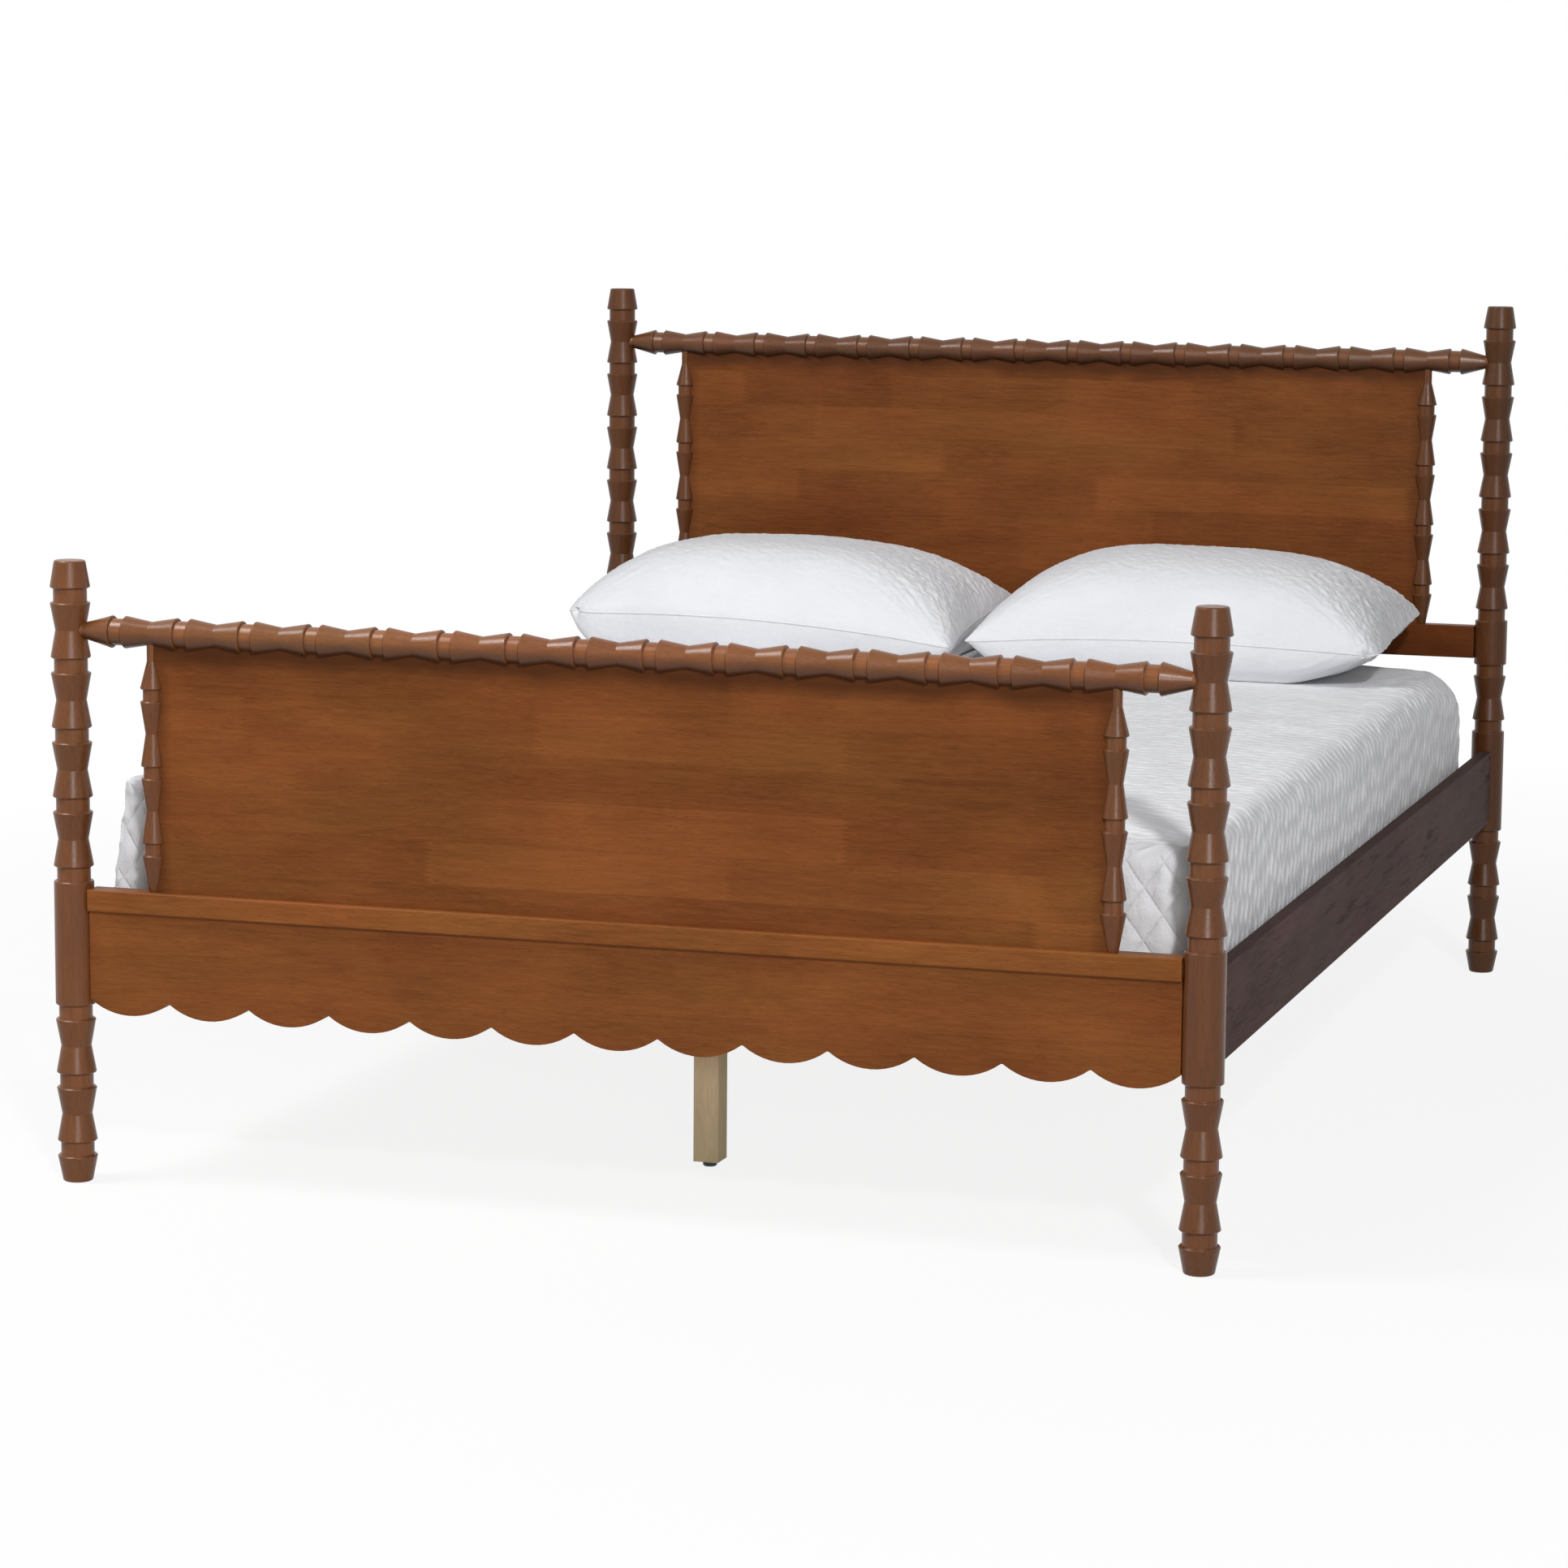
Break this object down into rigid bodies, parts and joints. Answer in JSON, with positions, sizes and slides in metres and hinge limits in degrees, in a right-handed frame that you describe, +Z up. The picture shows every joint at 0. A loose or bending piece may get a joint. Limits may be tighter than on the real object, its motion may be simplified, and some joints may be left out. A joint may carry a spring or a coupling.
{
  "type": "platform bed",
  "caption": "Wooden platform bed with spool-turned posts and crest rails, panelled headboard and footboard, scalloped apron, slatted base, mattress and pillows.",
  "frame": {"origin": "on the floor, midway between the four posts", "axes": "+Z up, +Y from foot to head, +X to the right seen from the foot"},
  "size_m": [1.464, 2.0519, 1.026],
  "materials": {
    "stained_wood": "satin",
    "pale_wood": "matte",
    "steel": "zinc plated",
    "black_plastic": "matte",
    "mattress_fabric": "quilted knit",
    "pillow_fabric": "woven"
  },
  "bodies": {
    "frame": {"apron_dowels": "pale_wood", "beam_bracket_foot": "steel", "beam_bracket_head": "steel", "beam_bracket_screws": "steel", "centre_beam": "pale_wood", "centre_leg_foot": "pale_wood", "centre_leg_head": "pale_wood", "centre_leg_middle": "pale_wood", "cleat_screws": "steel", "foot_post_left": "stained_wood", "foot_post_right": "stained_wood", "footboard_cap_rail": "stained_wood", "footboard_crest_rail": "stained_wood", "footboard_panel": "stained_wood", "footboard_scalloped_apron": "stained_wood", "footboard_spindle_left": "stained_wood", "footboard_spindle_right": "stained_wood", "head_post_left": "stained_wood", "head_post_right": "stained_wood", "headboard_bottom_rail": "stained_wood", "headboard_crest_rail": "stained_wood", "headboard_lower_rail": "stained_wood", "headboard_panel": "stained_wood", "headboard_spindle_left": "stained_wood", "headboard_spindle_right": "stained_wood", "hook_pins": "steel", "hook_plate_screws": "steel", "leg_bolts": "steel", "leg_insert_nuts": "steel", "rail_hook_foot_left": "steel", "rail_hook_foot_right": "steel", "rail_hook_head_left": "steel", "rail_hook_head_right": "steel", "side_cleat_left": "pale_wood", "side_cleat_right": "pale_wood", "side_rail_left": "stained_wood", "side_rail_right": "stained_wood", "slat_01": "pale_wood", "slat_02": "pale_wood", "slat_03": "pale_wood", "slat_04": "pale_wood", "slat_05": "pale_wood", "slat_06": "pale_wood", "slat_07": "pale_wood", "slat_08": "pale_wood", "slat_09": "pale_wood", "slat_10": "pale_wood", "slat_11": "pale_wood", "slat_12": "pale_wood", "slat_13": "pale_wood", "slat_screws": "steel"},
    "mattress": {"mattress": "mattress_fabric"},
    "pillow_left": {"pillow_left": "pillow_fabric"},
    "pillow_right": {"pillow_right": "pillow_fabric"},
    "glide_foot": {"leg_glide_foot": "black_plastic", "glide_stem_foot": "steel"},
    "glide_middle": {"leg_glide_middle": "black_plastic", "glide_stem_middle": "steel"},
    "glide_head": {"leg_glide_head": "black_plastic", "glide_stem_head": "steel"}
  },
  "joints": [
    {"name": "mattress_lift", "type": "slide", "parent": "frame", "child": "mattress", "axis": [0, 0, 1], "range_m": [0, 0.3]},
    {"name": "pillow_left_lift", "type": "slide", "parent": "mattress", "child": "pillow_left", "axis": [0, 0, 1], "range_m": [0, 0.3]},
    {"name": "pillow_right_lift", "type": "slide", "parent": "mattress", "child": "pillow_right", "axis": [0, 0, 1], "range_m": [0, 0.3]},
    {"name": "glide_foot_level", "type": "slide", "parent": "frame", "child": "glide_foot", "axis": [0, 0, -1], "range_m": [0, 0.012]},
    {"name": "glide_middle_level", "type": "slide", "parent": "frame", "child": "glide_middle", "axis": [0, 0, -1], "range_m": [0, 0.012]},
    {"name": "glide_head_level", "type": "slide", "parent": "frame", "child": "glide_head", "axis": [0, 0, -1], "range_m": [0, 0.012]}
  ]
}
